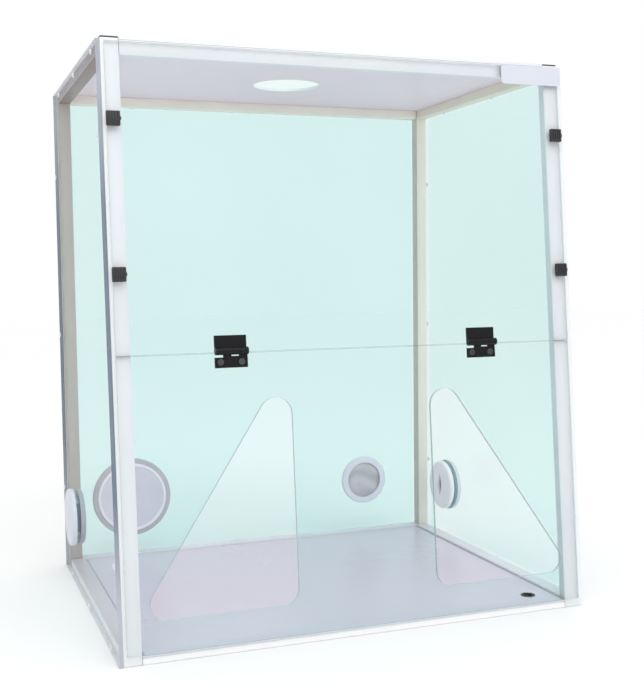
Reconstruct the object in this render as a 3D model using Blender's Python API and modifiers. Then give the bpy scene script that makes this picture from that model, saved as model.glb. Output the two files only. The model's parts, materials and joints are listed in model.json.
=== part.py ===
"""Bench glove box: an acrylic enclosure on a frame of square tube, with a hinged front sash.

The frame stands on Z = 0 with its middle over the origin and its leaning front facing -Y.
Metres throughout. Run with: blender --background --python part.py
"""
import math

import bmesh
import bpy
from mathutils import Matrix

# Driving dimensions of the frame
WIDTH = 0.704
DEPTH = 0.5536
HEIGHT = 0.837
SET_BACK = 0.0693
TUBE = 0.025
FRONT_TUBE_DEPTH = 0.0145
REAR_TUBE_DEPTH = 0.0225
REAR_POST_WIDTH = 0.020
TOP_FRONT_RAIL = 0.0205
RAIL = 0.0155
FRONT_BAR = 0.0095
CORNER = 0.0012
GAP = 0.0003
OVERLAP = 0.001

# Sheets
SIDE_SHEET = 0.006
REAR_SHEET = 0.005
FRONT_SHEET = 0.005
TOP_SHEET = 0.004
FLOOR_SHEET = 0.0027
END_CAP = 0.0017
CAP_INSET = 0.0005
FRONT_LEFT = -0.3475
FRONT_RIGHT = 0.3485
SASH_BOTTOM = 0.0130
SEAM = 0.4116
SEAM_HALF = 0.0004
FRONT_TOP = 0.8324

# Arm openings, as the corners of a triangle: distance from the middle, height up the slope, radius
SASH_MIDDLE = 0.0025
ARM_CORNERS = ((0.1070, 0.0570, 0.022), (0.3362, 0.0570, 0.022), (0.1070, 0.4030, 0.024))

# Round openings
EXHAUST_RADIUS = 0.0555
EXHAUST_FROM_REAR = 0.214
DRAIN_X = 0.2866
DRAIN_FROM_FRONT = 0.042
DRAIN_RADIUS = 0.0105

# Hinges
HINGE_X = 0.1931
HINGE_WIDTH = 0.0468
UPPER_LEAF_WIDTH = 0.0455
LEAF = 0.002
UPPER_LEAF_REACH = 0.0217
LOWER_LEAF_REACH = 0.0230
LEAF_START = 0.0046
NOTCH_START = 0.0086
SLIT_START = 0.0069
KNUCKLE_RADIUS = 0.0053
KNUCKLE_BORE = 0.0023
PIN_RADIUS = 0.0022
AXIS_RISE = 0.0022
KNUCKLE_CUTS = (-0.0234, -0.0114, 0.0006, 0.0110, 0.0234)
KNUCKLE_GAP = 0.0002
SCREW_X = 0.0151
SCREW_DROP = 0.0149
SCREW_HOLE = 0.0023
SCREW_SHANK = 0.002
SCREW_HEAD = 0.0048
SCREW_RISE = 0.0003
SCREW_SOCKET = 0.0018
SOCKET_DEPTH = 0.001
NUT_RADIUS = 0.0040
NUT = 0.003

# Clips that hold the upper front panel
CLIP_X = 0.3397
CLIP_HEIGHTS = {"upper": 0.7276, "lower": 0.5202}
CLIP_WIDTH = 0.0185
CLIP_TALL = 0.0195
CLIP_BASE = 0.0022
CLIP_KNOB = 0.0034
CLIP_EDGE = 0.001
CLIP_BOSS = 0.004
CLIP_BOSS_INSET = 0.0025
CLIP_RIBS = 4
RIB_SLOT = 0.0014
RIB_DEPTH = 0.001
SPINDLE_RADIUS = 0.0030
SPINDLE_BORE = 0.0031
SPINDLE_DEPTH = 0.0014

# Ports: centre height and the size of each fitting
COVER_PORT = {"x": -0.2374, "z": 0.1144, "flange": 0.0712, "cover": 0.062, "bore": 0.050}
WINDOW_PORT = {"x": 0.2215, "z": 0.1110, "flange": 0.046, "cover": 0.034, "bore": 0.0342}
SLOT_PORTS = {"left": (0.126, 0.114), "right": (0.0920, 0.107)}
SLOT_FLANGE = 0.0475
SLOT_CAP = 0.0455
SLOT_CAP_THICK = 0.0085
SLOT_WEB = 0.004
OUTER_DISC = 0.009
OUTER_SOCKET = 0.004
SLOT_BORE = 0.030
SLEEVE = 0.003
SLOT_TALL = 0.044
SLOT_WIDE = 0.012
RING = 0.006

# Name plate
PLATE_LOW = (0.2503, 0.8046)
PLATE_HIGH = (0.3533, 0.8333)
PLATE = 0.0015
PLATE_CORNER = 0.005

LEAN = math.atan2(SET_BACK, HEIGHT)
SASH_PROUD = (GAP + FRONT_SHEET) * math.cos(LEAN) - SASH_BOTTOM * math.sin(LEAN)
PORT_PROUD = GAP + REAR_SHEET + GAP + RING
REAR = (DEPTH + SASH_PROUD - PORT_PROUD) / 2
FRONT = REAR - DEPTH
HALF = WIDTH / 2
INNER = HALF - TUBE
POST_TOP = HEIGHT - END_CAP - GAP
RAIL_TOP = HEIGHT - TOP_SHEET - GAP
FACE = GAP + FRONT_SHEET
AXIS_OUT = FACE + GAP + KNUCKLE_RADIUS

WHITE = (0.88, 0.88, 0.90)
CLEAR = (0.80, 0.95, 0.93)
BLACK = (0.018, 0.017, 0.020)
PORT_WHITE = (0.80, 0.80, 0.85)
PORT_GREY = (0.42, 0.42, 0.47)
DARK = (0.10, 0.10, 0.11)
FLOOR_PALE = (0.62, 0.64, 0.72)
COVER_GREY = (0.50, 0.51, 0.60)
SMOKE = (0.45, 0.44, 0.46)
PLATE_PALE = (0.85, 0.86, 0.90)
RUBBER = (0.12, 0.10, 0.09)


# --- scene and helpers -------------------------------------------------------------------------

def clear_scene():
    for thing in list(bpy.data.objects):
        bpy.data.objects.remove(thing, do_unlink=True)


def collection(name):
    made = bpy.data.collections.new(name)
    bpy.context.scene.collection.children.link(made)
    return made


def material(name, colour, roughness, metallic=0.0, alpha=1.0):
    made = bpy.data.materials.new(name)
    made.use_nodes = True
    shader = made.node_tree.nodes["Principled BSDF"]
    shader.inputs["Base Color"].default_value = (*colour, 1.0)
    shader.inputs["Roughness"].default_value = roughness
    shader.inputs["Metallic"].default_value = metallic
    shader.inputs["Alpha"].default_value = alpha
    return made


def empty(name, location, lean=0.0, parent=None):
    made = bpy.data.objects.new(name, None)
    made.location = location
    made.rotation_euler = (lean, 0.0, 0.0)
    made.parent = parent
    PARTS.objects.link(made)
    return made


def as_object(name, mesh, finish=None, location=(0, 0, 0), turn=(0, 0, 0), parent=None, smooth=False):
    made = bpy.data.objects.new(name, mesh)
    made.location = location
    made.rotation_euler = turn
    made.parent = parent
    if finish is not None:
        mesh.materials.append(material(name + "_finish", **finish))
    if smooth:
        mesh.shade_smooth()
        mesh.set_sharp_from_angle(angle=math.radians(35))
    (CUTTERS if finish is None else PARTS).objects.link(made)
    if finish is None:
        made.hide_render = True
        made.display_type = "WIRE"
    return made


def box_mesh(name, low, high):
    shape = bmesh.new()
    bmesh.ops.create_cube(shape, size=1.0)
    for vertex in shape.verts:
        for axis in range(3):
            share = vertex.co[axis] + 0.5
            vertex.co[axis] = low[axis] + share * (high[axis] - low[axis])
    mesh = bpy.data.meshes.new(name)
    shape.to_mesh(mesh)
    shape.free()
    return mesh


def cylinder_mesh(name, radius, low, high, sides=24, top_radius=None):
    """A cylinder or cone along Z from low to high."""
    shape = bmesh.new()
    middle = Matrix.Translation((0, 0, (low + high) / 2))
    top = radius if top_radius is None else top_radius
    bmesh.ops.create_cone(shape, cap_ends=True, segments=sides, radius1=radius, radius2=top,
                          depth=high - low, matrix=middle)
    mesh = bpy.data.meshes.new(name)
    shape.to_mesh(mesh)
    shape.free()
    return mesh


def turned_mesh(name, profile, sides=36):
    """A closed profile of (radius, height) points, turned about Z."""
    shape = bmesh.new()
    corners = [shape.verts.new((radius, 0.0, height)) for radius, height in profile]
    on_axis = profile[0][0] == 0.0 and profile[-1][0] == 0.0
    edges = [shape.edges.new(pair) for pair in zip(corners, corners[1:])]
    if not on_axis:
        edges.append(shape.edges.new((corners[-1], corners[0])))
    bmesh.ops.spin(shape, geom=corners + edges, axis=(0, 0, 1), cent=(0, 0, 0),
                   angle=2 * math.pi, steps=sides, use_merge=True)
    bmesh.ops.remove_doubles(shape, verts=shape.verts, dist=0.00002)
    bmesh.ops.recalc_face_normals(shape, faces=shape.faces)
    mesh = bpy.data.meshes.new(name)
    shape.to_mesh(mesh)
    shape.free()
    return mesh


def boolean(target, tool, operation):
    step = target.modifiers.new(operation.lower(), "BOOLEAN")
    step.operation = operation
    step.solver = "EXACT"
    step.object = tool


def round_edges(target, width, segments=2):
    step = target.modifiers.new("rounded", "BEVEL")
    step.width = width
    step.segments = segments
    step.limit_method = "ANGLE"
    step.angle_limit = math.radians(40)


def circle(centre, radius, points=48):
    turn = 2 * math.pi / points
    return [(centre[0] + radius * math.cos(step * turn), centre[1] + radius * math.sin(step * turn))
            for step in range(points)]


def rectangle(low, high):
    return [(low[0], low[1]), (high[0], low[1]), (high[0], high[1]), (low[0], high[1])]


def rounded(corners, arc_points=10):
    """The outline through (x, y, radius) corners with an arc at each."""
    outline = []
    count = len(corners)
    for index, (x, y, radius) in enumerate(corners):
        before = corners[index - 1]
        after = corners[(index + 1) % count]
        angle_in = math.atan2(before[1] - y, before[0] - x)
        angle_out = math.atan2(after[1] - y, after[0] - x)
        opening = (angle_out - angle_in + math.pi) % (2 * math.pi) - math.pi
        middle = angle_in + opening / 2
        reach = radius / math.sin(abs(opening) / 2)
        centre = (x + reach * math.cos(middle), y + reach * math.sin(middle))
        sweep = math.pi - abs(opening)
        side = 1 if opening > 0 else -1
        for step in range(arc_points + 1):
            share = step / arc_points - 0.5
            angle = middle + math.pi - side * share * sweep
            outline.append((centre[0] + radius * math.cos(angle), centre[1] + radius * math.sin(angle)))
    return outline


def sheet_mesh(name, outlines, thickness):
    """A flat sheet in XY, from one outer outline and the outlines of its holes."""
    curve = bpy.data.curves.new(name, "CURVE")
    curve.dimensions = "2D"
    curve.fill_mode = "BOTH"
    curve.extrude = thickness / 2
    for outline in outlines:
        spline = curve.splines.new("POLY")
        spline.points.add(len(outline) - 1)
        for point, (x, y) in zip(spline.points, outline):
            point.co = (x, y, 0.0, 1.0)
        spline.use_cyclic_u = True
    holder = bpy.data.objects.new(name, curve)
    bpy.context.scene.collection.objects.link(holder)
    bpy.context.view_layer.update()
    evaluated = holder.evaluated_get(bpy.context.evaluated_depsgraph_get())
    mesh = bpy.data.meshes.new_from_object(evaluated)
    bpy.data.objects.remove(holder, do_unlink=True)
    shape = bmesh.new()
    shape.from_mesh(mesh)
    bmesh.ops.remove_doubles(shape, verts=shape.verts, dist=0.00001)
    shape.to_mesh(mesh)
    shape.free()
    return mesh


def leaning(offset=0.0):
    """Y of a plane parallel to the leaning front, offset backwards, as a function of height."""
    return lambda z: FRONT + offset / math.cos(LEAN) + z * math.tan(LEAN)


def upright(y):
    return lambda z: y


# --- frame -------------------------------------------------------------------------------------

def member(name, x_range, z_range, front_face, back_face, finish=None):
    """A straight length of tube between two end or side planes."""
    shape = bmesh.new()
    bmesh.ops.create_cube(shape, size=1.0)
    for vertex in shape.verts:
        x = x_range[0] if vertex.co.x < 0 else x_range[1]
        z = z_range[0] if vertex.co.z < 0 else z_range[1]
        y = front_face(z) if vertex.co.y < 0 else back_face(z)
        vertex.co = (x, y, z)
    mesh = bpy.data.meshes.new(name)
    shape.to_mesh(mesh)
    shape.free()
    paint = finish or {"colour": WHITE, "roughness": 0.35}
    made = as_object(name, mesh, paint)
    round_edges(made, CORNER if finish is None else 0.0004)
    return made


def make_frame():
    sides = {"left": (-HALF, -INNER), "right": (INNER, HALF)}
    post_back = leaning(FRONT_TUBE_DEPTH)
    rear_front = upright(REAR - REAR_TUBE_DEPTH)
    rear_back = upright(REAR)
    after_post = leaning(FRONT_TUBE_DEPTH + GAP)
    before_post = upright(REAR - REAR_TUBE_DEPTH - GAP)
    between = (-INNER + GAP, INNER - GAP)
    rear_inner = HALF - REAR_POST_WIDTH
    rear_between = (-rear_inner + GAP, rear_inner - GAP)
    top_z = (RAIL_TOP - RAIL, RAIL_TOP)
    dark = {"colour": DARK, "roughness": 0.6}
    for side, x_range in sides.items():
        narrow_x = (-HALF, -rear_inner) if side == "left" else (rear_inner, HALF)
        member(f"front_{side}_post", x_range, (0, POST_TOP), leaning(), post_back)
        member(f"rear_{side}_post", narrow_x, (0, POST_TOP), rear_front, rear_back)
        member(f"bottom_{side}_rail", x_range, (0, RAIL), after_post, before_post)
        member(f"top_{side}_rail", narrow_x, top_z, after_post, before_post)
        cap_z = (HEIGHT - END_CAP, HEIGHT)
        member(f"front_{side}_end_cap", (x_range[0] + CAP_INSET, x_range[1] - CAP_INSET), cap_z,
               leaning(CAP_INSET), leaning(FRONT_TUBE_DEPTH - CAP_INSET), dark)
        member(f"rear_{side}_end_cap", (narrow_x[0] + CAP_INSET, narrow_x[1] - CAP_INSET), cap_z,
               upright(REAR - REAR_TUBE_DEPTH + CAP_INSET), upright(REAR - CAP_INSET), dark)
    member("top_front_rail", between, (RAIL_TOP - TOP_FRONT_RAIL, RAIL_TOP), leaning(), post_back)
    member("top_rear_rail", rear_between, top_z, rear_front, rear_back)
    member("bottom_front_rail", between, (0, FRONT_BAR), leaning(), post_back)
    member("bottom_rear_rail", rear_between, (0, RAIL), rear_front, rear_back)


# --- sheets ------------------------------------------------------------------------------------

def notched_outline(low, high, front, back):
    """A rectangle with a notch at each corner; front and back are (width, depth) of the notches."""
    return [(low[0] + front[0], low[1]), (high[0] - front[0], low[1]),
            (high[0] - front[0], low[1] + front[1]), (high[0], low[1] + front[1]),
            (high[0], high[1] - back[1]), (high[0] - back[0], high[1] - back[1]),
            (high[0] - back[0], high[1]), (low[0] + back[0], high[1]),
            (low[0] + back[0], high[1] - back[1]), (low[0], high[1] - back[1]),
            (low[0], low[1] + front[1]), (low[0] + front[0], low[1] + front[1])]


def make_sheets():
    clear = {"colour": CLEAR, "roughness": 0.05, "alpha": 0.25}
    front_at = leaning()
    front_notch = (TUBE + GAP, (FRONT_TUBE_DEPTH + GAP) / math.cos(LEAN))
    rear_notch = (REAR_POST_WIDTH + GAP, REAR_TUBE_DEPTH + GAP)
    top_z = HEIGHT - TOP_SHEET / 2
    top_front = front_at(HEIGHT)
    top = notched_outline((-HALF, top_front), (HALF, REAR), front_notch, rear_notch)
    exhaust = circle((0.0, REAR - EXHAUST_FROM_REAR), EXHAUST_RADIUS)
    as_object("top_panel", sheet_mesh("top_panel", [top, exhaust], TOP_SHEET), clear, (0, 0, top_z))

    floor_z = FRONT_BAR + GAP + FLOOR_SHEET / 2
    floor = rectangle((-INNER + GAP, front_at(FRONT_BAR)), (INNER - GAP, REAR - REAR_TUBE_DEPTH - GAP))
    drain = circle((DRAIN_X, FRONT + DRAIN_FROM_FRONT), DRAIN_RADIUS, 32)
    pale = {"colour": FLOOR_PALE, "roughness": 0.25}
    as_object("floor_panel", sheet_mesh("floor_panel", [floor, drain], FLOOR_SHEET), pale, (0, 0, floor_z))

    side_top = RAIL_TOP
    for side, sign in (("left", -1), ("right", 1)):
        from_rear, height = SLOT_PORTS[side]
        wall = [(front_at(0.0), 0.0), (REAR, 0.0), (REAR, side_top), (front_at(side_top), side_top)]
        port = circle((REAR - from_rear, height), SLOT_BORE + SLEEVE + GAP)
        mesh = sheet_mesh(f"{side}_panel", [wall, port], SIDE_SHEET)
        place = (sign * (HALF + GAP + SIDE_SHEET / 2), 0, 0)
        as_object(f"{side}_panel", mesh, clear, place, (math.pi / 2, 0, math.pi / 2))

    back = rectangle((-HALF, 0.0), (HALF, side_top))
    ports = [circle((port["x"], port["z"]), port["bore"] + SLEEVE + GAP)
             for port in (COVER_PORT, WINDOW_PORT)]
    mesh = sheet_mesh("rear_panel", [back] + ports, REAR_SHEET)
    as_object("rear_panel", mesh, clear, (0, REAR + GAP + REAR_SHEET / 2, 0), (math.pi / 2, 0, 0))

    upper = rectangle((FRONT_LEFT, SEAM + SEAM_HALF), (FRONT_RIGHT, FRONT_TOP))
    mesh = sheet_mesh("front_upper_panel", [upper], FRONT_SHEET)
    middle = -(GAP + FRONT_SHEET / 2)
    as_object("front_upper_panel", mesh, clear, (0, middle, 0), (math.pi / 2, 0, 0), FRONT_PLANE)

    axis_at = SEAM + AXIS_RISE
    sash = rectangle((FRONT_LEFT, SASH_BOTTOM - axis_at), (FRONT_RIGHT, SEAM - SEAM_HALF - axis_at))
    outlines = [sash]
    for sign in (-1, 1):
        corners = [(SASH_MIDDLE + sign * x, height - axis_at, radius) for x, height, radius in ARM_CORNERS]
        outlines.append(rounded(corners))
        for offset in (-SCREW_X, SCREW_X):
            outlines.append(circle((SASH_MIDDLE + sign * HINGE_X + offset, -SCREW_DROP), SCREW_HOLE, 16))
    mesh = sheet_mesh("front_sash", outlines, FRONT_SHEET)
    place = (0, AXIS_OUT + middle, 0)
    as_object("front_sash", mesh, clear, place, (math.pi / 2, 0, 0), SASH_AXIS)


# --- hinges ------------------------------------------------------------------------------------

def leaf(name, side_x, upper):
    """One hinge leaf, made round the pin: a plate, its tabs and its knuckles, with the bore cut."""
    black = {"colour": BLACK, "roughness": 0.35}
    inner = KNUCKLE_RADIUS - LEAF
    half = HINGE_WIDTH / 2
    if upper:
        low = (-half, inner, LEAF_START)
        high = (-half + UPPER_LEAF_WIDTH, KNUCKLE_RADIUS, UPPER_LEAF_REACH)
    else:
        low = (-half, inner, -LOWER_LEAF_REACH)
        high = (half, KNUCKLE_RADIUS, -NOTCH_START)
    made = as_object(name, box_mesh(name, low, high), black, (side_x, 0, 0), parent=SASH_AXIS)
    spans = list(zip(KNUCKLE_CUTS, KNUCKLE_CUTS[1:]))
    own = spans[0::2] if upper else spans[1::2]
    for number, (start, end) in enumerate(own):
        start += KNUCKLE_GAP
        end -= KNUCKLE_GAP
        reach = (0.0, LEAF_START + OVERLAP) if upper else (-NOTCH_START - OVERLAP, 0.0)
        if upper and number == 0:
            start -= KNUCKLE_GAP
        tab = as_object(f"{name}_tab_{number}", box_mesh(name, (start, inner, reach[0]),
                        (end, KNUCKLE_RADIUS, reach[1])), location=(side_x, 0, 0), parent=SASH_AXIS)
        boolean(made, tab, "UNION")
        turn = (0, math.pi / 2, 0)
        barrel = as_object(f"{name}_barrel_{number}", cylinder_mesh(name, KNUCKLE_RADIUS, start, end),
                           location=(side_x, 0, 0), turn=turn, parent=SASH_AXIS)
        boolean(made, barrel, "UNION")
    if not upper:
        strip = box_mesh(name, (KNUCKLE_CUTS[2] - OVERLAP, inner, -NOTCH_START - OVERLAP),
                         (KNUCKLE_CUTS[3] + OVERLAP, KNUCKLE_RADIUS, -SLIT_START))
        narrowed = as_object(name + "_strip", strip, location=(side_x, 0, 0), parent=SASH_AXIS)
        boolean(made, narrowed, "UNION")
    bore = as_object(f"{name}_bore", cylinder_mesh(name, KNUCKLE_BORE, -HINGE_WIDTH, HINGE_WIDTH),
                     location=(side_x, 0, 0), turn=(0, math.pi / 2, 0), parent=SASH_AXIS)
    boolean(made, bore, "DIFFERENCE")
    return made


def make_hinge(side, sign):
    steel = {"colour": DARK, "roughness": 0.3, "metallic": 0.8}
    centre = SASH_MIDDLE + sign * HINGE_X
    leaf(f"hinge_{side}_upper_leaf", centre, True)
    lower = leaf(f"hinge_{side}_lower_leaf", centre, False)
    pin = cylinder_mesh("pin", PIN_RADIUS, -HINGE_WIDTH / 2 + 0.0005, HINGE_WIDTH / 2 - 0.0005)
    as_object(f"hinge_{side}_pin", pin, steel, (centre, 0, 0), (0, math.pi / 2, 0), SASH_AXIS, True)
    face = KNUCKLE_RADIUS - LEAF
    for place, offset in (("left", -SCREW_X), ("right", SCREW_X)):
        spot = (centre + offset, face, -SCREW_DROP)
        turn = (math.pi / 2, 0, 0)
        sink = cylinder_mesh("sink", SCREW_HOLE, -LEAF - OVERLAP, OVERLAP, 24,
                             SCREW_HEAD + GAP + OVERLAP)
        boolean(lower, as_object(f"{side}_{place}_sink", sink, location=spot, turn=turn,
                                 parent=SASH_AXIS), "DIFFERENCE")
        depth = LEAF + 2 * GAP + FRONT_SHEET + NUT + GAP
        profile = [(0, -depth), (SCREW_SHANK, -depth), (SCREW_SHANK, -LEAF), (SCREW_HEAD, -0.0001),
                   (SCREW_HEAD - SCREW_RISE, SCREW_RISE), (SCREW_SOCKET, SCREW_RISE),
                   (SCREW_SOCKET, -SOCKET_DEPTH), (0, -SOCKET_DEPTH)]
        screw = turned_mesh("screw", profile, 24)
        as_object(f"hinge_{side}_{place}_screw", screw, steel, spot, turn, SASH_AXIS, True)
        back = (spot[0], KNUCKLE_RADIUS + GAP + FRONT_SHEET + GAP, -SCREW_DROP)
        nut = as_object(f"hinge_{side}_{place}_nut", cylinder_mesh("nut", NUT_RADIUS, -NUT, 0, 6),
                        steel, back, turn, SASH_AXIS)
        thread = cylinder_mesh("thread", SCREW_SHANK + 0.0001, -NUT - OVERLAP, OVERLAP)
        boolean(nut, as_object(f"{side}_{place}_thread", thread, location=back, turn=turn,
                               parent=SASH_AXIS), "DIFFERENCE")


# --- clips -------------------------------------------------------------------------------------

def make_clip(side, sign, level, height):
    black = {"colour": BLACK, "roughness": 0.4}
    spot = (sign * CLIP_X, -(FACE + GAP), height)
    half = (CLIP_WIDTH / 2, CLIP_TALL / 2)
    name = f"clip_{side}_{level}_base"
    base = as_object(name, box_mesh(name, (-half[0], -CLIP_BASE, -half[1]), (half[0], 0, half[1])),
                     black, spot, parent=FRONT_PLANE)
    round_edges(base, CLIP_EDGE)
    turn = (math.pi / 2, 0, 0)
    front = (spot[0], spot[1] - CLIP_BASE, spot[2])
    bore = as_object(name + "_bore", cylinder_mesh(name, SPINDLE_BORE, -SPINDLE_DEPTH - GAP, OVERLAP),
                     location=front, turn=turn, parent=FRONT_PLANE)
    boolean(base, bore, "DIFFERENCE")
    name = f"clip_{side}_{level}_knob"
    block = box_mesh(name, (-half[0], -GAP - CLIP_KNOB, -half[1]), (half[0], -GAP, half[1]))
    knob = as_object(name, block, black, front, parent=FRONT_PLANE)
    round_edges(knob, CLIP_EDGE)
    shaft = cylinder_mesh(name, SPINDLE_RADIUS, -SPINDLE_DEPTH, GAP + OVERLAP)
    spindle = as_object(name + "_spindle", shaft, location=front, turn=turn, parent=FRONT_PLANE)
    boolean(knob, spindle, "UNION")
    rounded_side = cylinder_mesh(name, CLIP_BOSS, GAP + CLIP_EDGE / 2, GAP + CLIP_KNOB - CLIP_EDGE)
    boss_at = (front[0] + half[0] - CLIP_BOSS_INSET, front[1], front[2])
    boss = as_object(name + "_boss", rounded_side, location=boss_at, turn=turn, parent=FRONT_PLANE)
    boolean(knob, boss, "UNION")
    pitch = CLIP_WIDTH / (CLIP_RIBS + 1)
    for number in range(CLIP_RIBS):
        x = -half[0] + pitch * (number + 1)
        top = -GAP - CLIP_KNOB
        groove = box_mesh(name, (x - RIB_SLOT / 2, top - OVERLAP, -half[1] + CLIP_BOSS),
                          (x + RIB_SLOT / 2, top + RIB_DEPTH, half[1] + OVERLAP))
        cutter = as_object(f"{name}_groove_{number}", groove, location=front, parent=FRONT_PLANE)
        boolean(knob, cutter, "DIFFERENCE")


# --- ports -------------------------------------------------------------------------------------

def retaining_ring(bore, radius, thick):
    """A ring round the sleeve, outside the wall; its inner face is at height 0."""
    inner = bore + SLEEVE + GAP
    edge = 0.0015
    return [(inner, 0), (inner, thick), (radius - edge, thick), (radius, thick - edge), (radius, 0)]


def make_rear_port(name, port, wall, cover_profile, cover_finish, flange_thick, sides=36):
    """A flanged collar from inside, a ring that holds it from outside, and what closes it."""
    bore = port["bore"]
    sleeve = bore + SLEEVE
    through = -(GAP + wall + GAP + RING)
    rim = 0.002
    collar = [(bore, through), (bore, flange_thick), (port["flange"] - rim, flange_thick),
              (port["flange"], flange_thick - rim), (port["flange"], 0), (sleeve, 0), (sleeve, through)]
    inside = (port["x"], REAR, port["z"])
    facing_in = (math.pi / 2, 0, 0)
    grey = {"colour": PORT_GREY, "roughness": 0.4}
    as_object(f"{name}_collar", turned_mesh(name, collar, sides), grey,
              inside, facing_in, None, True)
    ring = retaining_ring(bore, port["flange"] - 0.006, RING)
    outside = (port["x"], REAR + GAP + wall + GAP, port["z"])
    as_object(f"{name}_ring", turned_mesh(name, ring, sides), grey, outside, (-math.pi / 2, 0, 0),
              None, True)
    place = (inside[0], inside[1] - flange_thick, inside[2])
    as_object(f"{name}_cover", turned_mesh(name, cover_profile, sides), cover_finish, place, facing_in,
              None, True)


def make_ports():
    radius = COVER_PORT["cover"]
    plug = COVER_PORT["bore"] - GAP
    cover = [(0, 0.0018), (radius - 0.005, 0.0018), (radius - 0.0042, 0.0035), (radius - 0.001, 0.0035),
             (radius, 0.0025), (radius, GAP), (plug, GAP), (plug, -0.010), (plug - 0.003, -0.010),
             (plug - 0.003, -0.001), (0, -0.001)]
    grey = {"colour": COVER_GREY, "roughness": 0.35}
    make_rear_port("port_rear_left", COVER_PORT, REAR_SHEET, cover, grey, 0.004, 48)
    radius = WINDOW_PORT["cover"]
    rise = 0.006
    thick = 0.002
    steps = 4
    turns = [step * math.pi / 2 / steps for step in range(steps + 1)]
    outer = [(radius * math.sin(turn), rise * math.cos(turn) - rise) for turn in turns]
    inner = [((radius - thick) * math.sin(turn), rise * math.cos(turn) - rise - thick)
             for turn in reversed(turns)]
    dome = outer + [(radius, -rise - thick)] + inner
    smoke = {"colour": SMOKE, "roughness": 0.08, "alpha": 0.6}
    make_rear_port("port_rear_right", WINDOW_PORT, REAR_SHEET, dome, smoke, 0.006)
    for side, sign in (("left", -1), ("right", 1)):
        make_slot_port(side, sign)


def make_slot_port(side, sign):
    """A slotted cap inside the wall, with a sleeve that plugs into a closed disc outside the wall."""
    from_rear, height = SLOT_PORTS[side]
    wall_in = sign * (HALF + GAP)
    inward = (0, -sign * math.pi / 2, 0)
    edge = 0.0025
    thick = SLOT_CAP_THICK
    through = -(SIDE_SHEET + GAP + OUTER_SOCKET)
    sleeve = SLOT_BORE + SLEEVE
    cap = [(0, thick), (SLOT_CAP - edge, thick), (SLOT_CAP, thick - edge), (SLOT_CAP, GAP),
           (sleeve, GAP), (sleeve, through), (SLOT_BORE, through), (SLOT_BORE, SLOT_WEB), (0, SLOT_WEB)]
    white = {"colour": PORT_WHITE, "roughness": 0.4}
    place = (wall_in, REAR - from_rear, height)
    name = f"port_{side}_cap"
    made = as_object(name, turned_mesh(name, cap), white, place, inward, None, True)
    steps = 10
    lens = []
    for sense in (1, -1):
        for step in range(steps):
            along = sense * (step / steps * 2 - 1)
            lens.append((sense * SLOT_WIDE / 2 * math.cos(along * math.pi / 2), along * SLOT_TALL / 2))
    slot = as_object(name + "_slot", sheet_mesh(name, [lens], 0.02), location=(place[0] - sign * 0.008,
                     place[1], place[2]), turn=(math.pi / 2, 0, math.pi / 2))
    boolean(made, slot, "DIFFERENCE")
    socket = sleeve + GAP
    disc = [(0, OUTER_DISC), (SLOT_FLANGE - edge, OUTER_DISC), (SLOT_FLANGE, OUTER_DISC - edge),
            (SLOT_FLANGE, 0), (socket, 0), (socket, OUTER_SOCKET), (0, OUTER_SOCKET)]
    outside = (sign * (HALF + GAP + SIDE_SHEET + GAP), place[1], height)
    as_object(f"port_{side}_outer_disc", turned_mesh(name, disc), white, outside,
              (0, sign * math.pi / 2, 0), None, True)


# --- small parts -------------------------------------------------------------------------------

def make_small_parts():
    corners = [(x, z, PLATE_CORNER) for x, z in rectangle(PLATE_LOW, PLATE_HIGH)]
    mesh = sheet_mesh("name_plate", [rounded(corners, 6)], PLATE)
    paint = {"colour": PLATE_PALE, "roughness": 0.3}
    middle = -(FACE + GAP + PLATE / 2)
    as_object("name_plate", mesh, paint, (0, middle, 0), (math.pi / 2, 0, 0), FRONT_PLANE)
    top = FRONT_BAR + GAP + FLOOR_SHEET
    hole = DRAIN_RADIUS - GAP
    grommet = [(hole - 0.002, -FLOOR_SHEET), (hole - 0.002, 0.0008), (hole + 0.0008, 0.0008),
               (hole + 0.0012, GAP), (hole, GAP), (hole, -FLOOR_SHEET)]
    dark = {"colour": RUBBER, "roughness": 0.5}
    place = (DRAIN_X, FRONT + DRAIN_FROM_FRONT, top)
    as_object("floor_grommet", turned_mesh("floor_grommet", grommet, 32), dark, place, smooth=True)


clear_scene()
PARTS = collection("glove_box")
CUTTERS = collection("cutters")
FRONT_PLANE = empty("front_plane", (0, FRONT, 0), -LEAN)
SASH_AXIS = empty("sash_axis", (0, -AXIS_OUT, SEAM + AXIS_RISE), parent=FRONT_PLANE)
make_frame()
make_sheets()
for hinge_side, hinge_sign in (("left", -1), ("right", 1)):
    make_hinge(hinge_side, hinge_sign)
    for clip_level, clip_height in CLIP_HEIGHTS.items():
        make_clip(hinge_side, hinge_sign, clip_level, clip_height)
make_ports()
make_small_parts()
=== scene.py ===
"""Looks of a bench glove box: clear sheets on a white tube frame, ports, hinges, clips and screws."""

import json
import math

import bmesh
import bpy
from mathutils import Matrix, Vector


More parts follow.
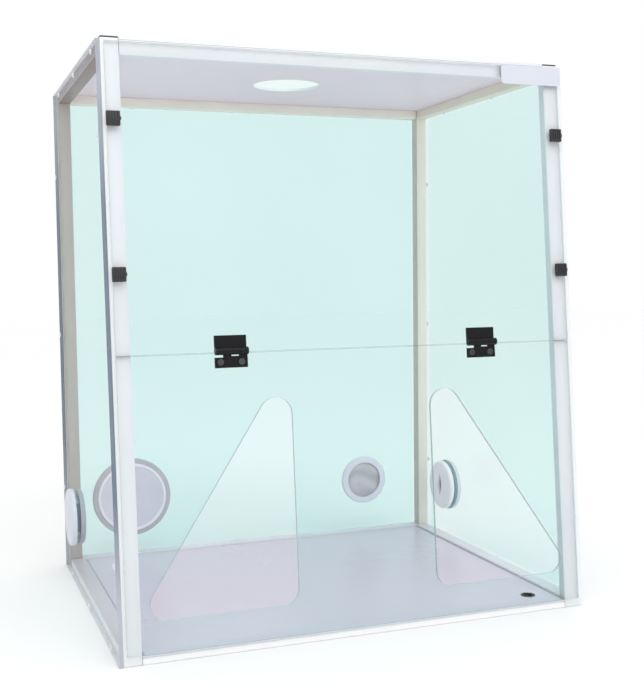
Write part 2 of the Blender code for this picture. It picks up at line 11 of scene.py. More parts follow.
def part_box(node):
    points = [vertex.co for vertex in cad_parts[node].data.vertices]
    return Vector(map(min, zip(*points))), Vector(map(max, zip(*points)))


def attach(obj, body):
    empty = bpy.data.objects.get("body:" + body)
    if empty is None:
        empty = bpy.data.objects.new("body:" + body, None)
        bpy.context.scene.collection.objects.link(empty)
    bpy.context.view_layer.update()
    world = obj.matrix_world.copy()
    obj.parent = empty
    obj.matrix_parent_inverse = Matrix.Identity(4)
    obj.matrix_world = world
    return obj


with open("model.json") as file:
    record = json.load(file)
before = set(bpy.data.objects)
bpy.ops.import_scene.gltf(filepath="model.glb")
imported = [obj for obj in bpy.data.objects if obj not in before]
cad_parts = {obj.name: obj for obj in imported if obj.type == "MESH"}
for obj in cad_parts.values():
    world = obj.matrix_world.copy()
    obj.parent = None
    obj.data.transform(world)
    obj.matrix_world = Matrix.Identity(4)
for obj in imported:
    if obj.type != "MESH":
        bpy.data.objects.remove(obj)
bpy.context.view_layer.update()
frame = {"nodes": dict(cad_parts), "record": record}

# Camera, as angles in degrees and a place in metres
CAMERA_AZIMUTH = 20.34
CAMERA_PITCH = 3.96
CAMERA_ROLL = 0.68
CAMERA_PLACE = (-0.5845, -1.6750, 0.5145)
CAMERA_LENS = 55.27
SENSOR = 36.0

# Colours, linear. The tubes are all one white paint: their different colours are painted light and shade for
# the light on each, and a side colour is painted light and shade for faces towards -X.
FRAME_WHITE = (0.80, 0.83, 0.85)
LIT_REAR_TUBE = (0.97, 0.86, 0.78)
SHADED_REAR_TUBE_SIDE = (0.68, 0.60, 0.56)
SHADED_WARM_TUBE = (0.85, 0.765, 0.66)
SHADED_LEFT_TUBE = (0.54, 0.47, 0.44)
SHADED_BROWN_TUBE = (0.28, 0.165, 0.16)
SHADED_BROWN_TUBE_SIDE = (0.36, 0.33, 0.35)
SHADED_GREY_TUBE = (0.73, 0.64, 0.69)
LIT_GREY_TUBE_SIDE = (0.94, 0.94, 0.96)
SHADED_LAVENDER_TUBE = (0.80, 0.79, 0.84)
LIT_BAR_WHITE = (0.93, 0.935, 0.95)
BLACK = (0.005, 0.0045, 0.006)
FLOOR_GREY = (0.735, 0.645, 0.76)
CEILING_PALE = (0.91, 0.81, 0.865)
CEILING_TOP = (0.83, 0.82, 0.85)
WINDOW_DARK = (0.58, 0.52, 0.56)
WINDOW_LIGHT = (0.78, 0.70, 0.76)
DUST_WHITE = (0.9, 0.93, 0.94)
STAGE_WHITE = (0.96, 0.96, 0.96)
STUDIO_WHITE = (1.0, 1.0, 1.0, 1.0)

# What each clear sheet lets through, and what it lets through where it lies over the white frame
FRONT_TINT = (0.865, 0.96, 0.95)
REAR_TINT = (0.777, 0.919, 0.911)
LEFT_TINT = (0.89, 0.965, 0.96)
RIGHT_TINT = (0.81, 0.93, 0.922)
CLEAR_OVER_FRAME = (0.985, 0.988, 0.99)

# Cut edges of the sheets. A pair is for the middle of the height and for its ends.
SHEET_EDGE = (0.84, 0.86, 0.89)
PALE_EDGE = (0.80, 0.84, 0.86)
FRONT_EDGE = ((0.54, 0.61, 0.62), (0.54, 0.61, 0.62))
LEFT_EDGE = ((0.15, 0.19, 0.24), (0.46, 0.50, 0.56))

# The line where the sash meets the sheet above it: colours, half its width, how far it lies below
# the hinge axis, and how strongly it shows
SEAM_DARK = (0.14, 0.19, 0.20)
SEAM_OVER_FRAME = (0.58, 0.57, 0.56)
SEAM_HALF = 0.0008
SEAM_BELOW_AXIS = 0.0022
SEAM_STRENGTH = 0.5

# The front sheet is untinted from this far below the top front rail
RAIL_SEEN_BELOW = 0.003

# Painted shade where the floor sheet meets the side rails
RAIL_SHADE_WIDTH = 0.005

# The left sheet's front edge is darkest in the middle: it pales below and above these heights
EDGE_PALES_BELOW = (0.08, 0.22)
EDGE_PALES_ABOVE = (0.60, 0.78)
EDGE_PALES_ABOVE_BY = 0.8

# A face is turned away from a direction when the cosine between them is below this
TURNED_AWAY = 0.7

# Sheets: refraction for their mirror, cover of their cut edges, and how far the side sheets mirror
SHEET_IOR = 1.3
EDGE_COVER = 0.9
SIDE_MIRROR = 0.06

# The ceiling passes this share of the daylight above it
CEILING_GLOW = 0.45

# The port cover: its grey, the paler colour that paints light on its raised ring, where the raised ring
# starts and how soft that step is
COVER_DISC = (0.78, 0.70, 0.80)
COVER_RING_LIT = (0.97, 0.90, 0.97)
COVER_RING = 0.0568
COVER_STEP = 0.0004

# Finishes of paint, plastic, rubber and steel. Grain is in bumps per metre and depth in metres.
TUBE_PAINT = {"roughness": 0.42, "grain": 900.0, "depth": 0.0002}
FRONT_PAINT = {"roughness": 0.38, "grain": 900.0, "depth": 0.0002, "variation": 0.02}
PORT_PLASTIC = {"roughness": 0.40, "grain": 800.0, "depth": 0.0002}
STEEL = {"grain": 1500.0, "depth": 0.0001, "variation": 0.2, "metallic": 0.9}
FINISHES = {
    "frame_white": dict(colour=FRAME_WHITE, **FRONT_PAINT),
    # The bar and tube finishes below are copies of the one white paint with painted light and shade.
    "lit_bar_white": dict(colour=LIT_BAR_WHITE, **FRONT_PAINT),
    "lit_rear_tube": dict(colour=LIT_REAR_TUBE, variation=0.03, side=SHADED_REAR_TUBE_SIDE, **TUBE_PAINT),
    "shaded_warm_tube": dict(colour=SHADED_WARM_TUBE, variation=0.03, **TUBE_PAINT),
    "shaded_brown_tube": dict(colour=SHADED_BROWN_TUBE, variation=0.05, side=SHADED_BROWN_TUBE_SIDE, **TUBE_PAINT),
    "shaded_grey_tube": dict(colour=SHADED_GREY_TUBE, variation=0.03, side=LIT_GREY_TUBE_SIDE, **TUBE_PAINT),
    "shaded_lavender_tube": dict(colour=SHADED_LAVENDER_TUBE, variation=0.03, **TUBE_PAINT),
    "shaded_left_tube": dict(colour=SHADED_LEFT_TUBE, variation=0.04, **TUBE_PAINT),
    "cap_grey": dict(colour=(0.50, 0.49, 0.53), variation=0.04, **PORT_PLASTIC),
    # Painted light: the right port cap is a brighter copy of the port white, for a cap that faces the dim
    # left.
    "lit_cap_white": dict(colour=(0.96, 0.96, 0.98), variation=0.02, **PORT_PLASTIC),
    "disc_white": dict(colour=(0.74, 0.76, 0.84), variation=0.04, **PORT_PLASTIC),
    "port_white": dict(colour=(0.88, 0.84, 0.92), variation=0.04, **PORT_PLASTIC),
    "port_grey": dict(colour=(0.60, 0.54, 0.58), roughness=0.42, grain=800.0, depth=0.0002,
                      variation=0.05),
    "black_plastic": dict(colour=BLACK, roughness=0.22, grain=1400.0, depth=0.00005, variation=0.25,
                          specular=0.22),
    "clip_black": dict(colour=(0.022, 0.020, 0.024), roughness=0.38, grain=1400.0, depth=0.0002,
                       variation=0.25),
    "dark_cap": dict(colour=(0.05, 0.05, 0.055), roughness=0.55, grain=1200.0, depth=0.0002,
                     variation=0.15),
    "dark_steel": dict(colour=(0.07, 0.07, 0.078), roughness=0.35, **STEEL),
    "screw_steel": dict(colour=(0.085, 0.085, 0.095), roughness=0.32, **STEEL),
    "plate": dict(colour=(0.65, 0.68, 0.76), roughness=0.30, grain=1500.0, depth=0.00003,
                  variation=0.02),
    "grommet": dict(colour=(0.055, 0.045, 0.04), roughness=0.5, grain=1500.0, depth=0.0002,
                    variation=0.3),
}
SCREW_CAP = dict(colour=(0.82, 0.82, 0.86), roughness=0.28, grain=900.0, depth=0.0001, variation=0.03)

# Nodes whose finish doesn't follow from the kind of piece
OWN_FINISH = {
    "name_plate": "plate", "floor_grommet": "grommet",
    # These tubes take finishes with painted light and shade for where each sits.
    "top_rear_rail": "lit_rear_tube", "rear_right_post": "lit_rear_tube", "rear_left_post": "shaded_left_tube",
    "top_left_rail": "shaded_brown_tube", "top_right_rail": "shaded_warm_tube",
    "bottom_left_rail": "shaded_grey_tube", "bottom_right_rail": "shaded_lavender_tube",
    "bottom_rear_rail": "shaded_lavender_tube", "bottom_front_rail": "lit_bar_white",
    # The right port cap takes a finish with painted light.
    "port_left_cap": "cap_grey", "port_left_outer_disc": "disc_white", "port_right_cap": "lit_cap_white",
}
FINISH_BY_ENDING = (
    (("_post", "_rail"), "frame_white"),
    ("_leaf", "black_plastic"),
    (("_base", "_knob"), "clip_black"),
    ("_screw", "screw_steel"),
    (("_pin", "_nut"), "dark_steel"),
    ("_end_cap", "dark_cap"),
)

# How bright the studio is on the left, beside 1 elsewhere, and between which directions it changes
LEFT_DIM = 0.45
DIM_TURNS = (-0.85, -0.25)

# The ground: half its width, and how far it lies below the part
STAGE_HALF = 12.0
STAGE_GAP = 0.0002

# Dome-headed cap screws that hold the side and rear sheets: radii and heights
CAP_RIM = 0.0042
CAP_DOME = 0.0036
CAP_HEIGHT = 0.0024
CAP_RIM_HEIGHT = 0.0008
CAP_ROUND = 0.0003
CAP_DRAFT = 0.0002
CAP_SIDES = 28
DOME_STEPS = 12
DIMPLE_RIM = 0.0009
DIMPLE_RADIUS = 0.0006
DIMPLE_LIP = 0.0001
DIMPLE_DEPTH = 0.0005

# Places of the cap screws, in metres: heights of rows, then places along each row
TOP_ROW = 0.8215
SIDE_BOTTOM_ROW = 0.0085
REAR_BOTTOM_ROW = 0.0080
SIDE_TOP_ALONG = (-0.1756, 0.0034, 0.1854)
SIDE_BOTTOM_ALONG = (-0.2190, -0.0150, 0.1800)
REAR_ACROSS = (-0.22, 0.0, 0.22)
FRONT_HEIGHTS = (0.133, 0.421, 0.706)
REAR_HEIGHTS = (0.144, 0.416, 0.691)
FRONT_CAP_INSET = 0.0075

# Corners closer than this are one, and an edge that turns more than these degrees stays sharp
WELD = 0.00001
SHARP_NODE = 32
SHARP_CAP = 35


# --- materials ---------------------------------------------------------------------------------

class Tree:
    """A short way to add and link shader nodes."""

    def __init__(self, name):
        self.material = bpy.data.materials.new(name)
        self.material.use_nodes = True
        self.nodes = self.material.node_tree.nodes
        self.links = self.material.node_tree.links
        self.shader = self.nodes["Principled BSDF"]
        self.output = self.nodes["Material Output"]
        self.place = self.add("ShaderNodeTexCoord").outputs["Object"]

    def add(self, kind, **settings):
        node = self.nodes.new(kind)
        for key, value in settings.items():
            setattr(node, key, value)
        return node

    def set(self, node, socket, value):
        if isinstance(value, bpy.types.NodeSocket):
            self.links.new(value, node.inputs[socket])
        elif isinstance(value, tuple) and len(value) == 3 and node.inputs[socket].type == "RGBA":
            node.inputs[socket].default_value = (*value, 1.0)
        else:
            node.inputs[socket].default_value = value

    def math(self, operation, first, second=0.0, third=None):
        node = self.add("ShaderNodeMath", operation=operation)
        self.set(node, 0, first)
        self.set(node, 1, second)
        if third is not None:
            self.set(node, 2, third)
        return node.outputs[0]

    def dot(self, vector, direction):
        node = self.add("ShaderNodeVectorMath", operation="DOT_PRODUCT")
        self.links.new(vector, node.inputs[0])
        node.inputs[1].default_value = direction
        return node.outputs["Value"]

    def stretched(self, scale):
        """The object coordinates scaled along each axis."""
        node = self.add("ShaderNodeMapping")
        self.links.new(self.place, node.inputs["Vector"])
        node.inputs["Scale"].default_value = scale
        return node.outputs["Vector"]

    def noise(self, scale, detail=2.0, rough=0.5, vector=None):
        node = self.add("ShaderNodeTexNoise")
        self.set(node, "Vector", vector or self.place)
        self.set(node, "Scale", scale)
        self.set(node, "Detail", detail)
        self.set(node, "Roughness", rough)
        return node.outputs["Fac"]

    def span(self, value, low, high, start=0.3, end=0.7):
        """The value from start..end mapped to low..high."""
        node = self.add("ShaderNodeMapRange")
        self.set(node, "Value", value)
        for socket, number in (("From Min", start), ("From Max", end), ("To Min", low), ("To Max", high)):
            self.set(node, socket, number)
        return node.outputs["Result"]

    def blend(self, share, first, second):
        node = self.add("ShaderNodeMix", data_type="RGBA")
        self.set(node, "Factor", share)
        for socket, value in ((6, first), (7, second)):
            if isinstance(value, bpy.types.NodeSocket):
                self.links.new(value, node.inputs[socket])
            else:
                node.inputs[socket].default_value = (*value, 1.0)
        return node.outputs[2]

    def bump(self, height, strength, distance):
        node = self.add("ShaderNodeBump")
        self.set(node, "Height", height)
        self.set(node, "Strength", strength)
        self.set(node, "Distance", distance)
        return node.outputs["Normal"]


def shade(colour, factor):
    return tuple(min(1.0, channel * factor) for channel in colour)


def solid_material(name, colour, roughness, grain, depth, variation, metallic=0.0, specular=0.5, side=None):
    """Paint, plastic, rubber or steel: slow colour drift, a fine surface grain and uneven gloss.

    With side, a colour, the faces towards -X take that colour instead, as painted light and shade for faces
    turned to the dim left.
    """
    tree = Tree(name)
    # Painted light and shade: faces towards -X take the side colour.
    if side is not None:
        geometry = tree.add("ShaderNodeNewGeometry")
        along = tree.dot(geometry.outputs["True Normal"], (1.0, 0.0, 0.0))
        sideways = tree.math("LESS_THAN", along, -TURNED_AWAY)
    drift = tree.span(tree.noise(scale=9.0, detail=3.0), 0.0, 1.0)
    ends = []
    for factor in (1 - variation, 1 + variation):
        end = shade(colour, factor)
        if side is not None:
            end = tree.blend(sideways, end, shade(side, factor))
        ends.append(end)
    tree.set(tree.shader, "Base Color", tree.blend(drift, *ends))
    wear = tree.noise(scale=60.0, detail=4.0)
    tree.set(tree.shader, "Roughness", tree.span(wear, roughness * 0.85, roughness * 1.15))
    bumps = tree.noise(grain, detail=2.0, rough=0.6)
    tree.set(tree.shader, "Normal", tree.bump(bumps, strength=0.35, distance=depth))
    tree.set(tree.shader, "Metallic", metallic)
    tree.set(tree.shader, "Specular IOR Level", specular)
    return tree.material


def panel_material(name, tint, normal, frame_planes, edges, pale, mirror=0.3, front=None, seam=None):
    """Clear sheet: passes light with a tint, mirrors a little, and shows its cut edges.

    Normal is the sheet's own direction. Past each frame plane (direction, offset) the sheet lies over
    the white frame and looks untinted, and its edges look pale. Edges holds the edge colour in the
    middle of the height and towards the ends. With front, a direction, only the edge that faces it
    takes those colours. A seam (direction, offset) draws the polished edges where two sheets meet.
    """
    tree = Tree(name)
    geometry = tree.add("ShaderNodeNewGeometry")
    facing = tree.dot(geometry.outputs["True Normal"], normal)
    edge = tree.math("LESS_THAN", tree.math("ABSOLUTE", facing), TURNED_AWAY)
    face_tint = tuple(math.sqrt(channel) for channel in tint)
    drift = tree.span(tree.noise(scale=3.0), 0.0, 1.0)
    colour = tree.blend(drift, shade(face_tint, 0.995), shade(face_tint, 1.005))
    over_frame = 0.0
    for direction, offset in frame_planes:
        past = tree.math("GREATER_THAN", tree.dot(tree.place, direction), offset)
        over_frame = tree.math("MAXIMUM", past, over_frame)
    colour = tree.blend(over_frame, colour, CLEAR_OVER_FRAME)
    clear = tree.add("ShaderNodeBsdfTransparent")
    tree.set(clear, "Color", colour)
    gloss = tree.add("ShaderNodeBsdfGlossy")
    tree.set(gloss, "Roughness", tree.span(tree.noise(scale=40.0, detail=4.0), 0.03, 0.08))
    fresnel = tree.add("ShaderNodeFresnel")
    fresnel.inputs["IOR"].default_value = SHEET_IOR
    sheet = tree.add("ShaderNodeMixShader")
    tree.set(sheet, "Fac", tree.math("MULTIPLY", fresnel.outputs[0], mirror))
    tree.links.new(clear.outputs[0], sheet.inputs[1])
    tree.links.new(gloss.outputs[0], sheet.inputs[2])
    dust = tree.add("ShaderNodeBsdfDiffuse")
    tree.set(dust, "Color", DUST_WHITE)
    dusty = tree.add("ShaderNodeMixShader")
    specks = tree.noise(scale=420.0, detail=3.0, rough=0.7)
    specks = tree.span(specks, low=0.0, high=0.008, start=0.45, end=0.8)
    tree.set(dusty, "Fac", specks)
    tree.links.new(sheet.outputs[0], dusty.inputs[1])
    tree.links.new(dust.outputs[0], dusty.inputs[2])
    split = tree.add("ShaderNodeSeparateXYZ")
    tree.links.new(tree.place, split.inputs[0])
    lower_end = tree.span(split.outputs["Z"], 1.0, 0.0, *EDGE_PALES_BELOW)
    upper_end = tree.span(split.outputs["Z"], 0.0, EDGE_PALES_ABOVE_BY, *EDGE_PALES_ABOVE)
    ends = tree.math("MAXIMUM", lower_end, upper_end)
    is_pale = over_frame
    if front is not None:
        towards_front = tree.dot(geometry.outputs["True Normal"], front)
        is_pale = tree.math("LESS_THAN", towards_front, TURNED_AWAY)
    edge_colour = tree.blend(is_pale, tree.blend(ends, *edges), pale)
    if seam is not None:
        gap = tree.math("ABSOLUTE", tree.math("SUBTRACT", tree.dot(tree.place, seam[0]), seam[1]))
        on_seam = tree.math("LESS_THAN", gap, SEAM_HALF)
        edge = tree.math("MAXIMUM", edge, tree.math("MULTIPLY", on_seam, SEAM_STRENGTH))
        seam_colour = tree.blend(over_frame, SEAM_DARK, SEAM_OVER_FRAME)
        edge_colour = tree.blend(on_seam, edge_colour, seam_colour)
    tree.set(tree.shader, "Base Color", edge_colour)
    tree.set(tree.shader, "Roughness", tree.span(tree.noise(scale=300.0, detail=3.0), 0.15, 0.4))
    tree.set(tree.shader, "Specular IOR Level", 0.05)
    tree.set(tree.shader, "Alpha", EDGE_COVER)
    whole = tree.add("ShaderNodeMixShader")
    tree.set(whole, "Fac", edge)
    tree.links.new(dusty.outputs[0], whole.inputs[1])
    tree.links.new(tree.shader.outputs[0], whole.inputs[2])
    tree.links.new(whole.outputs[0], tree.output.inputs["Surface"])
    return tree.material


def ceiling_material():
    """Opal sheet: daylight from above shows through it, and it has a soft gloss."""
    tree = Tree("ceiling_sheet")
    drift = tree.span(tree.noise(scale=2.5, detail=3.0), 0.0, 1.0)
    colour = tree.blend(drift, shade(CEILING_PALE, 0.97), shade(CEILING_PALE, 1.03))
    geometry = tree.add("ShaderNodeNewGeometry")
    facing = tree.add("ShaderNodeSeparateXYZ")
    tree.links.new(geometry.outputs["True Normal"], facing.inputs[0])
    edge = tree.math("LESS_THAN", tree.math("ABSOLUTE", facing.outputs["Z"]), TURNED_AWAY)
    colour = tree.blend(edge, colour, SHEET_EDGE)
    outside = tree.math("GREATER_THAN", facing.outputs["Z"], TURNED_AWAY)
    colour = tree.blend(outside, colour, CEILING_TOP)
    tree.set(tree.shader, "Base Color", colour)
    tree.set(tree.shader, "Roughness", tree.span(tree.noise(scale=8.0, detail=3.0), 0.30, 0.34))
    tree.set(tree.shader, "Normal", tree.bump(tree.noise(scale=1800.0), strength=0.1, distance=0.00005))
    glow = tree.add("ShaderNodeBsdfTranslucent")
    tree.set(glow, "Color", colour)
    mixed = tree.add("ShaderNodeMixShader")
    tree.set(mixed, "Fac", tree.math("MULTIPLY_ADD", edge, -CEILING_GLOW, CEILING_GLOW))
    tree.links.new(tree.shader.outputs[0], mixed.inputs[1])
    tree.links.new(glow.outputs[0], mixed.inputs[2])
    tree.links.new(mixed.outputs[0], tree.output.inputs["Surface"])
    return tree.material


def floor_material():
    """Pale glossy sheet with faint long streaks, and painted shade along the side rails."""
    tree = Tree("floor_sheet")
    streaks = tree.noise(scale=6.0, detail=5.0, rough=0.65, vector=tree.stretched((5.0, 1.0, 1.0)))
    clouds = tree.noise(scale=2.2, detail=3.0)
    share = tree.math("ADD", tree.span(streaks, 0.0, 0.5), tree.span(clouds, 0.0, 0.5))
    colour = tree.blend(share, shade(FLOOR_GREY, 0.97), shade(FLOOR_GREY, 1.03))
    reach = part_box("floor_panel")[1].x
    across = tree.math("ABSOLUTE", tree.dot(tree.place, (1.0, 0.0, 0.0)))
    # Painted shade: a darker band along each side rail.
    rail_shade = tree.span(across, 0.0, 1.0, reach - RAIL_SHADE_WIDTH, reach - RAIL_SHADE_WIDTH / 3)
    colour = tree.blend(rail_shade, colour, shade(FLOOR_GREY, 0.55))
    geometry = tree.add("ShaderNodeNewGeometry")
    upward = tree.math("ABSOLUTE", tree.dot(geometry.outputs["True Normal"], (0.0, 0.0, 1.0)))
    colour = tree.blend(tree.math("LESS_THAN", upward, TURNED_AWAY), colour, SHEET_EDGE)
    tree.set(tree.shader, "Base Color", colour)
    tree.set(tree.shader, "Roughness", tree.span(clouds, 0.26, 0.32))
    tree.set(tree.shader, "Normal",
             tree.bump(tree.noise(scale=1600.0, detail=3.0), strength=0.1, distance=0.00005))
    return tree.material


def window_material():
    """Smoked clear dome with fine moulding swirls."""
    tree = Tree("port_window")
    swirl = tree.add("ShaderNodeTexWave", wave_type="RINGS")
    tree.set(swirl, "Vector", tree.place)
    tree.set(swirl, "Scale", 18.0)
    tree.set(swirl, "Distortion", 6.0)
    tree.set(tree.shader, "Base Color", tree.blend(swirl.outputs["Fac"], WINDOW_DARK, WINDOW_LIGHT))
    tree.set(tree.shader, "Roughness", tree.span(tree.noise(scale=50.0, detail=3.0), 0.06, 0.16))
    tree.set(tree.shader, "Normal", tree.bump(swirl.outputs["Fac"], strength=0.15, distance=0.0006))
    tree.set(tree.shader, "Alpha", 0.85)
    tree.set(tree.shader, "Coat Weight", 0.6)
    return tree.material


def cover_material():
    """Port cover: a grey disc inside a raised ring made paler with painted light."""
    tree = Tree("port_cover")
    low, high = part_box("port_rear_left_cover")
    away = tree.add("ShaderNodeVectorMath", operation="DISTANCE")
    flat = tree.stretched((1.0, 0.0, 1.0))
    tree.links.new(flat, away.inputs[0])
    away.inputs[1].default_value = ((low.x + high.x) / 2, 0.0, (low.z + high.z) / 2)
    # Painted light: the raised ring is paler than the disc.
    lit_ring = tree.span(away.outputs["Value"], 0.0, 1.0, COVER_RING - COVER_STEP, COVER_RING + COVER_STEP)
    drift = tree.span(tree.noise(scale=20.0, detail=4.0), 0.0, 1.0)
    disc = tree.blend(drift, shade(COVER_DISC, 0.95), shade(COVER_DISC, 1.05))
    tree.set(tree.shader, "Base Color", tree.blend(lit_ring, disc, COVER_RING_LIT))
    tree.set(tree.shader, "Roughness", tree.span(tree.noise(scale=60.0, detail=4.0), 0.30, 0.42))
    tree.set(tree.shader, "Normal", tree.bump(tree.noise(scale=700.0), strength=0.2, distance=0.0001))
    return tree.material


def sheet_materials():
    """The clear walls and front, each with the planes past which it lies over the frame."""
    post_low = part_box("front_right_post")[0]
    slope = math.atan2(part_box("top_front_rail")[0].y - post_low.y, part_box("top_front_rail")[0].z)
    outward = (0.0, -math.cos(slope), math.sin(slope))
    behind_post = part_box("bottom_right_rail")[0].y * outward[1]
    across = [((1.0, 0.0, 0.0), post_low.x), ((-1.0, 0.0, 0.0), post_low.x)]
    above = ((0.0, 0.0, 1.0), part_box("top_left_rail")[0].z)
    below = ((0.0, 0.0, -1.0), -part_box("bottom_left_rail")[1].z)
    side_planes = [((0.0, 1.0, 0.0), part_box("rear_right_post")[0].y), (outward, behind_post), above, below]
    front_above = ((0.0, 0.0, 1.0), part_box("top_front_rail")[0].z - RAIL_SEEN_BELOW)
    rear_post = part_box("rear_right_post")[0].x
    rear_across = [((1.0, 0.0, 0.0), rear_post), ((-1.0, 0.0, 0.0), rear_post)]
    up = Vector((0.0, math.sin(slope), math.cos(slope)))
    axis = Vector(frame["record"]["behaviour"]["joints"][0]["pos_m"])
    seam = (tuple(up), axis.dot(up) - SEAM_BELOW_AXIS)
    sideways = (1.0, 0.0, 0.0)
    all_pale = (PALE_EDGE, PALE_EDGE)
    front = panel_material("front_acrylic", FRONT_TINT, outward, across + [front_above], FRONT_EDGE,
                           PALE_EDGE, seam=seam)
    rear = panel_material("rear_acrylic", REAR_TINT, (0.0, 1.0, 0.0), rear_across + [above, below],
                          all_pale, PALE_EDGE)
    left = panel_material("left_acrylic", LEFT_TINT, sideways, side_planes, LEFT_EDGE, PALE_EDGE,
                          SIDE_MIRROR, front=outward)
    right = panel_material("right_acrylic", RIGHT_TINT, sideways, side_planes, all_pale, PALE_EDGE,
                           SIDE_MIRROR)
    return {"front_upper_panel": front, "front_sash": front, "rear_panel": rear, "left_panel": left,
            "right_panel": right}


def finish_name(name):
    """Which of FINISHES a node takes."""
    if name in OWN_FINISH:
        return OWN_FINISH[name]
    for ending, finish in FINISH_BY_ENDING:
        if name.endswith(ending):
            return finish
    return "port_grey" if name.startswith("port_rear_left") else "port_white"


def paint_nodes():
    """Gives every CAD node its finish."""
    plain = {name: solid_material(name, **finish) for name, finish in FINISHES.items()}
    special = sheet_materials()
    special["top_panel"] = ceiling_material()
    special["floor_panel"] = floor_material()
    special["port_rear_left_cover"] = cover_material()
    special["port_rear_right_cover"] = window_material()
    for name, node in frame["nodes"].items():
        node.data.materials.clear()
        node.data.materials.append(special[name] if name in special else plain[finish_name(name)])
        soften(node)


def soften(node):
    """Welds the imported faces and shades round surfaces smoothly between sharp edges."""
    weld = node.modifiers.new("weld", "WELD")
    weld.merge_threshold = WELD
    node.data.shade_smooth()
    split = node.modifiers.new("edges", "EDGE_SPLIT")
    split.split_angle = math.radians(SHARP_NODE)


# --- pieces ------------------------------------------------------------------------------------

def turned(name, profile, sides):
    """A solid turned about Z from (radius, height) points that start and end on the axis."""
    start, *rings, end = profile
    turns = [2 * math.pi * step / sides for step in range(sides)]
    corners = [(0.0, 0.0, start[1])]
    corners += [(radius * math.cos(turn), radius * math.sin(turn), height)
                for radius, height in rings for turn in turns]
    corners.append((0.0, 0.0, end[1]))
    faces = []
    for here in range(1, sides + 1):
        after = here % sides + 1
        faces.append((0, after, here))
        for low in range(0, (len(rings) - 1) * sides, sides):
            faces.append((low + here, low + after, low + sides + after, low + sides + here))
        last = (len(rings) - 1) * sides
        faces.append((last + here, last + after, len(corners) - 1))
    mesh = bpy.data.meshes.new(name)
    mesh.from_pydata(corners, [], faces)
    mesh.shade_smooth()
    mesh.set_sharp_from_angle(angle=math.radians(SHARP_CAP))
    return mesh


def cap_mesh():
    """A dome-headed screw cap with a thin rim and a shallow dimple."""
    arc = []
    for step in range(DOME_STEPS // 2):
        turn = step * math.pi / DOME_STEPS
        rise = (CAP_HEIGHT - CAP_RIM_HEIGHT) * math.sin(turn)
        arc.append((CAP_DOME * math.cos(turn), CAP_RIM_HEIGHT + rise))
    dimple = [(DIMPLE_RIM, CAP_HEIGHT - DIMPLE_LIP), (DIMPLE_RADIUS, CAP_HEIGHT - DIMPLE_DEPTH),
              (0.0, CAP_HEIGHT - DIMPLE_DEPTH)]
    profile = [(0.0, 0.0), (CAP_RIM - CAP_ROUND, 0.0), (CAP_RIM, CAP_ROUND),
               (CAP_RIM - CAP_DRAFT, CAP_RIM_HEIGHT)]
    return turned("screw_cap", profile + arc + dimple, CAP_SIDES)


def place(name, mesh, spot, outward, body="root", slot=None):
    """One piece with its Z turned outward, riding on a body."""
    made = bpy.data.objects.new(name, mesh)
    bpy.context.scene.collection.objects.link(made)
    made.rotation_mode = "QUATERNION"
    made.rotation_quaternion = Vector(outward).to_track_quat("Z", "Y")
    made.location = spot
    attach(made, body)
    return made


def cap_screws():
    """Cap screws along the rails and posts behind the side and rear sheets."""
    mesh = cap_mesh()
    mesh.materials.append(solid_material("screw_cap", **SCREW_CAP))
    rear_low, rear_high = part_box("rear_right_post")
    rear_middle = (rear_low + rear_high) / 2
    front_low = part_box("front_left_post")[0].y
    slope = (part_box("top_front_rail")[0].y - front_low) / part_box("top_front_rail")[0].z
    for side, sign in (("left", -1), ("right", 1)):
        low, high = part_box(f"{side}_panel")
        x = high.x if sign > 0 else low.x
        spots = [(y, TOP_ROW) for y in SIDE_TOP_ALONG]
        spots += [(y, SIDE_BOTTOM_ROW) for y in SIDE_BOTTOM_ALONG]
        spots += [(front_low + slope * z + FRONT_CAP_INSET, z) for z in FRONT_HEIGHTS]
        spots += [(rear_middle.y, z) for z in REAR_HEIGHTS]
        for number, (y, z) in enumerate(spots):
            place(f"{side}_sheet_cap_{number:02d}", mesh, (x, y, z), (sign, 0, 0), slot="frame_white")
    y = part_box("rear_panel")[1].y
    spots = [(x, z) for z in (REAR_BOTTOM_ROW, TOP_ROW) for x in REAR_ACROSS]
    spots += [(sign * rear_middle.x, z) for sign in (-1, 1) for z in REAR_HEIGHTS]
    for number, (x, z) in enumerate(spots):
        place(f"rear_sheet_cap_{number:02d}", mesh, (x, y, z), (0, 1, 0), slot="frame_white")


# --- stage -------------------------------------------------------------------------------------

def make_stage():
    """A wide white ground just below the part."""
    shape = bmesh.new()
    bmesh.ops.create_grid(shape, x_segments=1, y_segments=1, size=STAGE_HALF)
    mesh = bpy.data.meshes.new("stage_floor")
    shape.to_mesh(mesh)
    shape.free()
    tree = Tree("stage_floor")
    tree.set(tree.shader, "Base Color", STAGE_WHITE)
    tree.set(tree.shader, "Roughness", 0.7)
    mesh.materials.append(tree.material)
    floor = bpy.data.objects.new("stage_floor", mesh)
    floor.location = (0, 0, -STAGE_GAP)
    bpy.context.scene.collection.objects.link(floor)


def soft_sun(name, origin, angle, strength):
    """A wide, even light that shines from origin towards the middle of the part."""
    data = bpy.data.lights.new(name, "SUN")
    data.angle = math.radians(angle)
    data.energy = strength
    made = bpy.data.objects.new(name, data)
    made.location = origin
    made.rotation_mode = "QUATERNION"
    made.rotation_quaternion = (-Vector(origin)).to_track_quat("-Z", "Y")
    bpy.context.scene.collection.objects.link(made)


def soft_box(name, origin, target, size, power):
    """A square lamp that fills in the front and the ground near the part."""
    data = bpy.data.lights.new(name, "AREA")
    data.size = size
    data.energy = power
    made = bpy.data.objects.new(name, data)
    made.location = origin
    made.rotation_mode = "QUATERNION"
    made.rotation_quaternion = (Vector(target) - Vector(origin)).to_track_quat("-Z", "Y")
    bpy.context.scene.collection.objects.link(made)


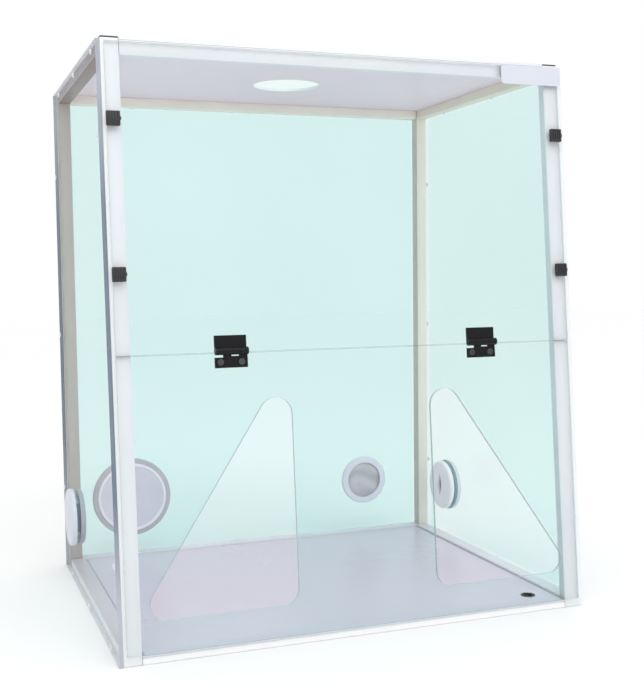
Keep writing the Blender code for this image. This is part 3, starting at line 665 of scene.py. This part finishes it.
def make_lights():
    """A white studio that is dimmer on the left, so that faces turned that way read as side faces."""
    world = bpy.data.worlds.new("studio")
    world.use_nodes = True
    nodes, links = world.node_tree.nodes, world.node_tree.links
    place = nodes.new("ShaderNodeTexCoord")
    split = nodes.new("ShaderNodeSeparateXYZ")
    links.new(place.outputs["Generated"], split.inputs[0])
    level = nodes.new("ShaderNodeMapRange")
    level.interpolation_type = "SMOOTHSTEP"
    links.new(split.outputs["X"], level.inputs["Value"])
    ends = (("From Min", DIM_TURNS[0]), ("From Max", DIM_TURNS[1]), ("To Min", LEFT_DIM), ("To Max", 1.0))
    for socket, number in ends:
        level.inputs[socket].default_value = number
    links.new(level.outputs["Result"], nodes["Background"].inputs["Strength"])
    nodes["Background"].inputs["Color"].default_value = STUDIO_WHITE
    bpy.context.scene.world = world
    soft_sun("key", origin=(0.6, -2.4, 2.2), angle=30.0, strength=0.25)
    soft_sun("top", origin=(-0.3, 0.2, 3.0), angle=60.0, strength=0.25)
    soft_box("near", origin=(-0.7, -1.5, 2.2), target=(-0.1, -0.3, 0.0), size=2.0, power=12.0)
    scene = bpy.context.scene
    scene.view_settings.view_transform = "Standard"
    scene.cycles.transparent_max_bounces = 32


def make_camera():
    """The photo's camera, turned by its azimuth, pitch and roll."""
    azimuth = math.radians(CAMERA_AZIMUTH)
    pitch = math.radians(CAMERA_PITCH)
    ahead = Vector((math.sin(azimuth) * math.cos(pitch), math.cos(azimuth) * math.cos(pitch),
                    -math.sin(pitch)))
    right = ahead.cross(Vector((0, 0, 1))).normalized()
    up = right.cross(ahead)
    tilt = Matrix.Rotation(math.radians(CAMERA_ROLL), 3, ahead)
    right, up = tilt @ right, tilt @ up
    axes = Matrix((right, up, -ahead)).transposed()
    data = bpy.data.cameras.new("camera")
    data.lens = CAMERA_LENS
    data.sensor_width = SENSOR
    camera = bpy.data.objects.new("camera", data)
    camera.matrix_world = Matrix.Translation(CAMERA_PLACE) @ axes.to_4x4()
    bpy.context.scene.collection.objects.link(camera)
    bpy.context.scene.camera = camera


make_camera()
make_lights()
make_stage()
paint_nodes()
cap_screws()
